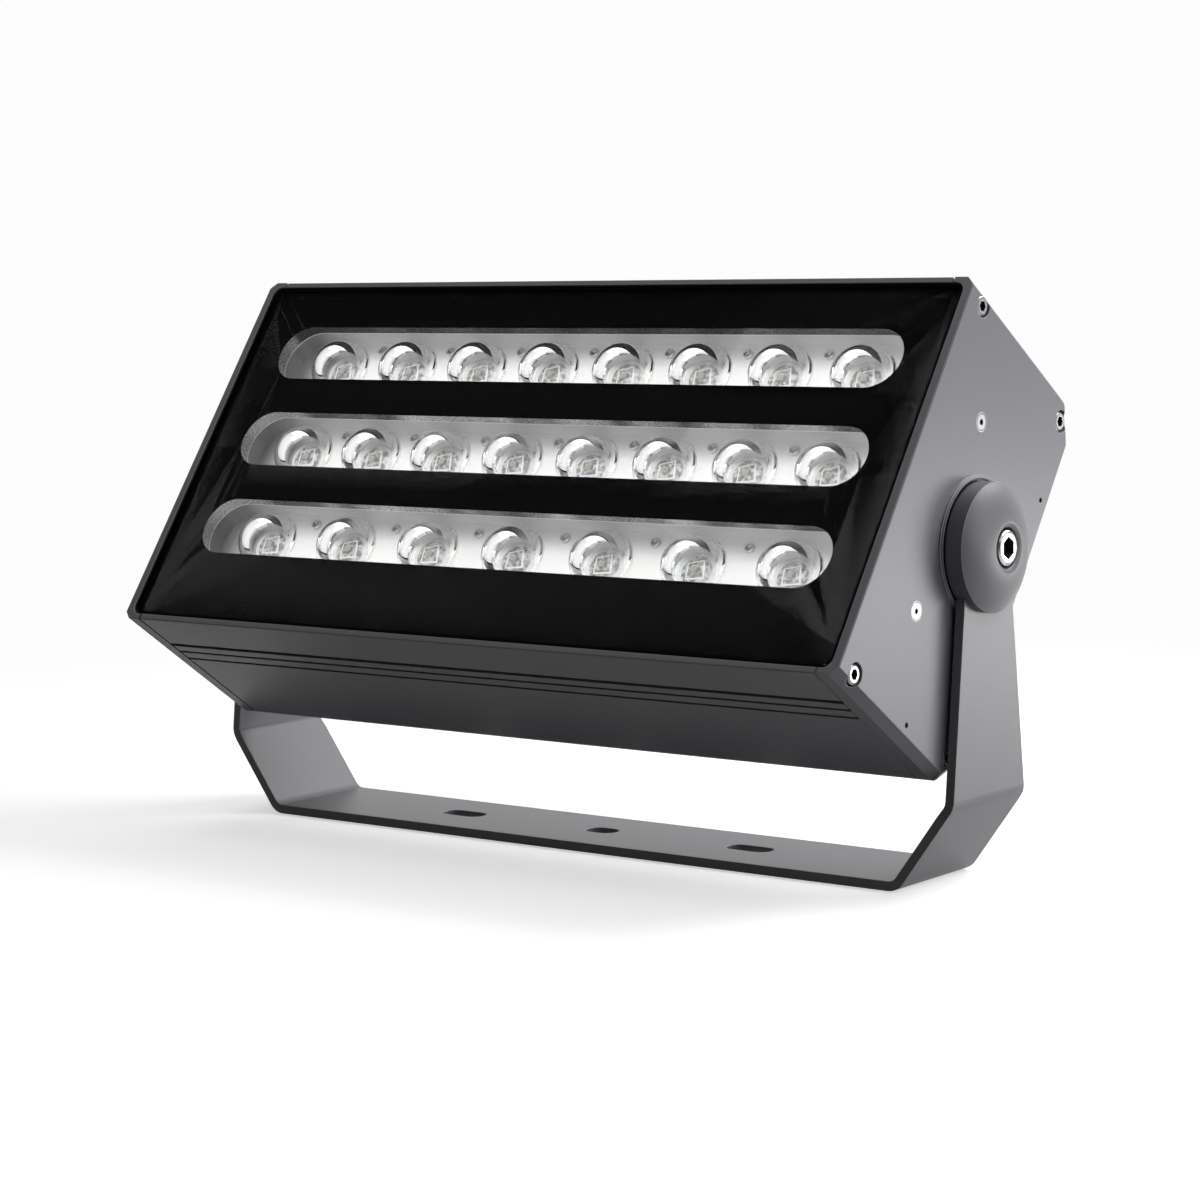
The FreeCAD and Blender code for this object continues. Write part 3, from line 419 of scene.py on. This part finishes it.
def troughMaterial(name, row):
    # white moulding, its wall grey and shiny towards the glass, blotched there with painted reflections
    # and ending in a painted highlight line; painted shade near the glass, under each slot's upper edge,
    # on the top row's upper wall and at the left end, which faces away from the light
    material, nodes = newMaterial(name)
    place = nodes.place()
    x, depth, rise = housingPlaces(nodes, place)
    grain = nodes.noise(place, 700.0)
    patches = nodes.noise(nodes.stretched(place, (28, 4, 4)), 1.0, 1.0)
    wall = nodes.step(depth, trough["wallEdge"] + 0.4 * mm, trough["wallEdge"])
    fade = nodes.step(depth, trough["wallEdge"], trough["fadeEnd"])
    upper = nodes.step(rise, (row["rise"] + 10) * mm, (row["rise"] + 14) * mm)
    left = nodes.step(x, trough["leftEnd"] + 6 * mm, trough["leftEnd"] - 12 * mm)
    streaks = nodes.noise(nodes.stretched(place, (160, 14, 14)), 1.0, 2.0)
    # the shiny front of the wall: its own grey, blotched dark to light as painted reflection
    grey = nodes.mix(nodes.step(patches, 0.35, 0.65), (*trough["wallDark"], 1), (*trough["wallLight"], 1))
    # black painted shade on the top row's upper wall and at the left end
    grey = nodes.mix((upper * row["upperWallShade"]).most(left), grey, (0.012, 0.012, 0.012, 1))
    # painted shade: greyer near the glass, whiter deeper in
    inner = nodes.mix(fade * 0.3 + 0.7, (0.3, 0.3, 0.3, 1), (*trough["white"], 1))
    inner = nodes.mix(dimTop(nodes, rise - row["rise"] * mm), inner, (*trough["shadeColour"], 1))
    # painted shade at the left end, streaked
    dim = nodes.step(x, trough["leftEnd"] + 40 * mm, trough["leftEnd"] - 4 * mm)
    inner = nodes.mix((dim * (0.75 + streaks * 0.4)).clamped(), inner, (0.08, 0.08, 0.08, 1))
    # painted highlight: a thin light line where the shiny front of the wall ends
    line = nodes.step(abs(depth - trough["wallEdge"] - 0.2 * mm), 0.45 * mm, 0.15 * mm)
    colour = nodes.mix(wall, inner, grey)
    colour = nodes.mix(line * (1 - left) * 0.7, colour, (0.8, 0.8, 0.8, 1))
    nodes.finish(nodes.add("BsdfPrincipled", {}, {
        "Base Color": colour, "Roughness": 0.5 - wall * 0.25 + grain * 0.05, "Metallic": wall * 0.6,
        "Emission Color": colour, "Emission Strength": trough["glow"],
        "Normal": roundedNormal(nodes, 0.3 * mm, grain, 0.01 * mm, 0.3)}))
    return material


board = {
    "white": (0.9, 0.9, 0.88), "track": (0.7, 0.7, 0.66), "pad": (0.3, 0.3, 0.29),
    "padReach": (4.2 * mm, 1.6 * mm),
    "trackRise": 2.6 * mm, "trackHalf": 0.5 * mm,
    "frame": 7.5 * mm, "frameColour": (0.95, 0.95, 0.94), "turn": math.radians(12),
    "holderDark": (0.07, 0.07, 0.07), "holderLight": (0.8, 0.8, 0.79),
    "holderIn": 13 * mm, "holderOut": 15 * mm,
    "phosphor": (0.62, 0.61, 0.5), "ceramic": (0.8, 0.8, 0.78),
    "glow": 0.27,                   # as in the troughs
}


def lensOffsets(nodes, place, row):
    # length and rise measured from the nearest lens's middle
    x, depth, rise = housingPlaces(nodes, place)
    pitch = 2 * row["reach"] * mm / (row["count"] - 1)
    along = (((x + row["reach"] * mm) / pitch + 0.5).fraction() - 0.5) * pitch
    return along, rise - row["rise"] * mm, depth


def boardMaterial(name, row):
    # white solder resist with a pair of grey pads and two fine tracks at each chip
    material, nodes = newMaterial(name)
    place = nodes.place()
    along, up, depth = lensOffsets(nodes, place, row)
    grain = nodes.noise(place, 1500.0)
    pads = (abs(along) < board["padReach"][0]) * (abs(up) < board["padReach"][1])
    tracks = (abs(abs(up) - board["trackRise"]) < board["trackHalf"])
    colour = nodes.mix(tracks * 0.6, (*board["white"], 1), (*board["track"], 1))
    # under each lens a light square frame, turned a little, on streaked grey: it stands in
    # for the lens's inner shape
    across = along * math.cos(board["turn"]) + up * math.sin(board["turn"])
    over = up * math.cos(board["turn"]) - along * math.sin(board["turn"])
    square = abs(across).most(abs(over))
    away = (along * along + up * up) ** 0.5
    stretch = nodes.add("CombineXYZ", {}, {0: across * 420, 1: over * 130, 2: depth})
    streaks = nodes.noise(stretch, 1.0, 3.0, 0.6)
    swirl = nodes.step(nodes.noise(place, 260.0, 2.0), 0.38, 0.62)
    holder = nodes.mix((streaks * 0.5 + swirl * 0.6).clamped(),
                       (*board["holderDark"], 1), (*board["holderLight"], 1))
    frameLine = nodes.step(abs(square - board["frame"]), 0.9 * mm, 0.5 * mm)
    holder = nodes.mix(frameLine, holder, (*board["frameColour"], 1))
    colour = nodes.mix(nodes.step(away, board["holderOut"], board["holderIn"]), colour, holder)
    colour = nodes.mix(pads, colour, (*board["pad"], 1))
    colour = nodes.mix(grain * 0.15, colour, (0.5, 0.5, 0.48, 1))
    colour = nodes.mix(dimTop(nodes, up), colour, (*trough["shadeColour"], 1))
    nodes.finish(nodes.add("BsdfPrincipled", {}, {
        "Base Color": colour, "Roughness": 0.35 + grain * 0.1, "Metallic": pads * 0.8,
        "Emission Color": colour, "Emission Strength": board["glow"],
        "Normal": nodes.add("Bump", {}, {
            "Height": tracks + pads, "Distance": 0.03 * mm, "Strength": 0.6})}))
    return material


def chipMaterial(name, row):
    # pale phosphor square in a white ceramic frame
    material, nodes = newMaterial(name)
    place = nodes.place()
    along, up, depth = lensOffsets(nodes, place, row)
    grain = nodes.noise(place, 3000.0)
    face = nodes.step(abs(along).most(abs(up)), 1.35 * mm, 1.2 * mm)
    colour = nodes.mix(face, (*board["ceramic"], 1), (*board["phosphor"], 1))
    colour = nodes.mix(grain * 0.2, colour, (0.6, 0.45, 0.1, 1))
    nodes.finish(nodes.add("BsdfPrincipled", {}, {
        "Base Color": colour, "Roughness": 0.4 + grain * 0.2,
        "Normal": nodes.add("Bump", {}, {"Height": face, "Distance": 0.1 * mm, "Strength": 0.6})}))
    return material


for name, row in rows.items():
    dress(troughMaterial("white_trough_" + name, row), "lens_trough_" + name)
    dress(boardMaterial("white_board_" + name, row), "led_board_" + name)
    dress(chipMaterial("yellow_chip_" + name, row), "led_chips_" + name)
dress(metalMaterial("board_screw_steel", metals["boardScrew"]), "board_screws")
print("slots done")


# ---- lenses

lens = {
    "dome": 17.5 * mm, "collar": 18.5 * mm, "collarTop": 24.2 * mm, "base": 26.15 * mm,
    "hollow": 4.0 * mm, "edge": 0.25 * mm, "around": 72, "domeSteps": 30,
}


def lensProfile():
    # radius and depth down the dome, over the collar, back under it and up the hollow:
    # dome radius times sine and cosine of an angle from 0 to 90 degrees, straight runs,
    # then the hollow's radius likewise
    angle = np.linspace(0, math.pi / 2, lens["domeSteps"])
    dome = np.stack([lens["dome"] * np.sin(angle), lens["collarTop"] - lens["dome"] * np.cos(angle)], -1)
    edge = lens["edge"]
    collar = np.array([
        (lens["collar"] - edge, lens["collarTop"]), (lens["collar"], lens["collarTop"] + edge),
        (lens["collar"], lens["base"] - edge), (lens["collar"] - edge, lens["base"]),
        (lens["hollow"] + edge, lens["base"])])
    angle = angle[::-2]
    hollow = np.stack([lens["hollow"] * np.sin(angle), lens["base"] - lens["hollow"] * np.cos(angle)], -1)
    return np.concatenate([dome, collar, hollow])


def turnedSurface(profile, around):
    # profile carried round its axis: point (radius times cosine, depth, radius times sine) of the turn;
    # both ends of the profile are poles with one point each
    turn = np.linspace(0, 2 * math.pi, around, endpoint=False)
    radius, depth = profile[1:-1, 0:1], profile[1:-1, 1:2]
    rings = np.stack([radius * np.cos(turn), depth + 0 * turn, radius * np.sin(turn)], -1).reshape(-1, 3)
    points = np.concatenate([[(0, profile[0, 1], 0)], rings, [(0, profile[-1, 1], 0)]])
    ringCount = len(profile) - 2
    column = np.arange(around)
    beside = (column + 1) % around
    start = 1 + np.arange(ringCount - 1)[:, None] * around
    quads = np.stack([
        start + column, start + beside, start + around + beside, start + around + column], -1).reshape(-1, 4)
    last = len(points) - 1
    low = 1 + (ringCount - 1) * around
    caps = np.concatenate([
        np.stack([0 * column, beside + 1, column + 1], -1),
        np.stack([0 * column + last, low + column, low + beside], -1)])
    return points, quads, caps


def makeMesh(name, points, quads, caps):
    mesh = bpy.data.meshes.new(name)
    mesh.from_pydata(points.tolist(), [], quads.tolist() + caps.tolist())
    mesh.polygons.foreach_set("use_smooth", np.ones(len(mesh.polygons), bool))
    mesh.set_sharp_from_angle(angle=0.6)
    mesh.validate()
    return mesh


def makeLensRow(name, row):
    points, quads, caps = turnedSurface(lensProfile(), lens["around"])
    places = np.linspace(-row["reach"], row["reach"], row["count"]) * mm
    count = len(points)
    shift = (np.arange(row["count"]) * count)[:, None, None]
    everyPoint = housingPoint(
        points[None, :, 0] + places[:, None], points[None, :, 1], points[None, :, 2] + row["rise"] * mm)
    mesh = makeMesh("lens_row_" + name, everyPoint.reshape(-1, 3),
                    (quads[None] + shift).reshape(-1, 4), (caps[None] + shift).reshape(-1, 3))
    piece = bpy.data.objects.new("lens_row_" + name, mesh)
    bpy.context.scene.collection.objects.link(piece)
    mesh.materials.append(lensGlass)
    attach(piece, "housing")
    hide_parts("lenses_" + name)


for name, row in rows.items():
    makeLensRow(name, row)
print("lenses done")


# ---- floor, lamps, world and camera

stage = {
    "white": 0.982,
    "floorHalf": 1.6, "nearRadius": 0.45, "farRadius": 0.95,
    "floorGlow": 0.55,          # share of plain white in the floor near the object
    "shown": (1.7, 1.7, 1.71),  # the floor's colour to the camera: above 1, so that it is white unless shaded
    "bounce": 0.11,             # its colour for light that it throws back at the object
    "mirrorFront": 0.2,         # share of it that shows in reflections in front of the object
    "ambient": 0.12,
}
lamps = {
    "right_low_softbox": {"place": (0.75, 0.62, 0.06), "aim": (0.24, 0.0, 0.1),
                          "size": (0.5, 0.11), "level": 11.0},
    "right_softbox": {"place": (1.75, 0.45, 0.5), "aim": (0.2, 0.0, 0.12),
                      "size": (1.0, 0.9), "level": 2.2},
    "back_softbox": {"place": (0.7, 1.15, 1.35), "aim": (0.2, 0.0, 0.15),
                     "size": (0.8, 0.8), "level": 8.0},
    "side_softbox": {"place": (1.35, -0.45, 1.25), "aim": (0.1, 0.0, 0.15),
                     "size": (0.6, 0.6), "level": 2.0},
    "top_softbox": {"place": (-0.5, 0.45, 1.9), "aim": (0.0, 0.0, 0.1),
                    "size": (1.8, 1.2), "level": 0.8},
    "hub_softbox": {"place": (1.2, 0.75, 1.45), "aim": (0.26, 0.0, 0.17),
                    "size": (0.6, 0.6), "level": 9.0},
    "front_fill": {"place": (-0.4, -0.6, 1.6), "aim": (0.0, 0.0, 0.2),
                   "size": (0.8, 0.8), "level": 3.0, "matt": True},
}


def makeFloor():
    half = stage["floorHalf"]
    mesh = bpy.data.meshes.new("floor")
    mesh.from_pydata([(-half, -half, 0), (half, -half, 0), (half, half, 0), (-half, half, 0)], [], [(0, 1, 2, 3)])
    floor = bpy.data.objects.new("floor", mesh)
    floor.location.z = -0.2 * mm
    bpy.context.scene.collection.objects.link(floor)
    material, nodes = newMaterial("floor_white")
    x, y, z = nodes.parts(nodes.place())
    away = (x * x + y * y) ** 0.5
    path = nodes.add("LightPath").socket.node.outputs
    # darker in reflections in front of the object, as the studio is there
    behind = stage["mirrorFront"] + nodes.step(y, -0.25, 0.15) * (1 - stage["mirrorFront"])
    mirrored = Wire(nodes, path["Is Glossy Ray"]) * behind
    seen = Wire(nodes, path["Is Camera Ray"]).most(mirrored).most(Wire(nodes, path["Is Transmission Ray"]))
    far = nodes.step(away, stage["nearRadius"], stage["farRadius"])
    glow = seen * (stage["floorGlow"] + far * (1 - stage["floorGlow"]))
    tone = nodes.mix(seen, (*[stage["bounce"]] * 3, 1), (*stage["shown"], 1))
    matt = nodes.add("BsdfDiffuse", {}, {"Color": tone})
    plain = nodes.add("Emission", {}, {"Color": (*[stage["white"]] * 3, 1)})
    nodes.finish(nodes.blend(glow, matt, plain))
    mesh.materials.append(material)


def makeLamp(name, look):
    light = bpy.data.lights.new(name, "AREA")
    light.shape = "RECTANGLE"
    light.size, light.size_y = look["size"]
    light.energy = look["level"] * math.pi * light.size * light.size_y
    lamp = bpy.data.objects.new(name, light)
    lamp.location = look["place"]
    lamp.rotation_euler = (Vector(look["aim"]) - lamp.location).to_track_quat("-Z", "Y").to_euler()
    lamp.visible_camera = False
    lamp.visible_glossy = not look.get("matt", False)     # the fill leaves no highlight in the glass
    bpy.context.scene.collection.objects.link(lamp)


def makeWorld():
    world = bpy.data.worlds.new("World")
    bpy.context.scene.world = world
    nodes = Nodes(world)
    path = nodes.add("LightPath").socket.node.outputs
    straight = Wire(nodes, path["Is Camera Ray"]).most(Wire(nodes, path["Is Transmission Ray"]))
    seen = straight.most(Wire(nodes, path["Is Glossy Ray"]))
    x, y, z = nodes.parts(nodes.add("TexCoord"))
    studio = nodes.step(y, -0.3, 0.4)        # the studio is dark in front of the object and dimmer to its right
    right = nodes.step(x, 0.1, 0.5) * nodes.step(z, -0.15, 0.0)
    level = straight.most((0.02 + studio * 0.98) * (1 - right * 0.5))
    ambient = stage["ambient"] * (0.08 + studio * 0.92 + z.most(0.0) * 0.6)
    background = seen * level * stage["white"] + (1 - seen) * ambient
    nodes.finish(nodes.add("Background", {}, {"Color": (1, 1, 1, 1), "Strength": background}))


def makeCamera():
    look = {"place": (1062.04, -1377.21, 326.507), "yaw": 37.607, "pitch": 6.336, "roll": -1.0044,
            "sensor": 36, "focalPixels": 3183.5, "framePixels": 1200}
    yaw, pitch, roll = (math.radians(look[name]) for name in ("yaw", "pitch", "roll"))
    ahead = Vector((-math.sin(yaw) * math.cos(pitch), math.cos(yaw) * math.cos(pitch), -math.sin(pitch)))
    levelRight = Vector((math.cos(yaw), math.sin(yaw), 0))
    levelUp = levelRight.cross(ahead)
    right = levelRight * math.cos(roll) + levelUp * math.sin(roll)
    up = levelUp * math.cos(roll) - levelRight * math.sin(roll)
    data = bpy.data.cameras.new("camera")
    data.sensor_width = look["sensor"]
    data.lens = look["focalPixels"] / look["framePixels"] * look["sensor"]
    camera = bpy.data.objects.new("camera", data)
    turn = Matrix((right, up, -ahead)).transposed().to_4x4()
    camera.matrix_world = Matrix.Translation(Vector(look["place"]) * mm) @ turn
    bpy.context.scene.collection.objects.link(camera)
    bpy.context.scene.camera = camera


makeFloor()
for name, look in lamps.items():
    makeLamp(name, look)
makeWorld()
makeCamera()
bpy.context.scene.view_settings.view_transform = "Standard"
print("stage done")
